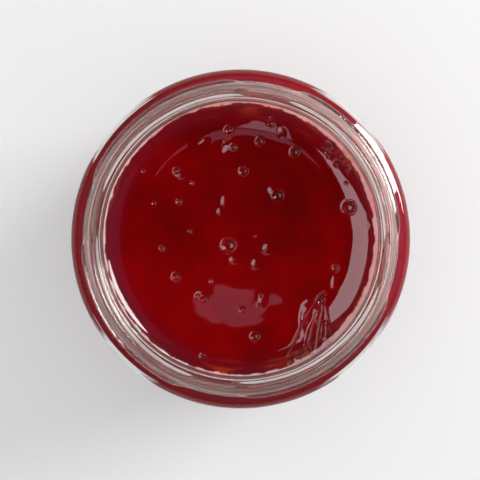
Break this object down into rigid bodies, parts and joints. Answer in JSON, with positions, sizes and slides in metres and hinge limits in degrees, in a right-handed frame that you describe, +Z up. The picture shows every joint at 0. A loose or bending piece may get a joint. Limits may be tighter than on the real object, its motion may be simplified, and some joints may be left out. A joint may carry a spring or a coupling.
{
  "type": "jam jar",
  "caption": "Open clear glass jar with a lugged twist-off neck, filled with red fruit jam to just below the neck.",
  "frame": {"origin": "centre of the base, on the plane the jar rests on", "axes": "+Z up, along the jar's axis; +X and +Y are free directions round it"},
  "size_m": [0.0756, 0.0756, 0.096],
  "materials": {
    "glass": "clear pressed and blown flint glass, smooth and glossy",
    "jam": "deep red set jam, clear at thin edges, with a wet gloss and small bubbles"
  },
  "bodies": {
    "root": {"jar": "glass", "jam": "jam"}
  },
  "joints": []
}
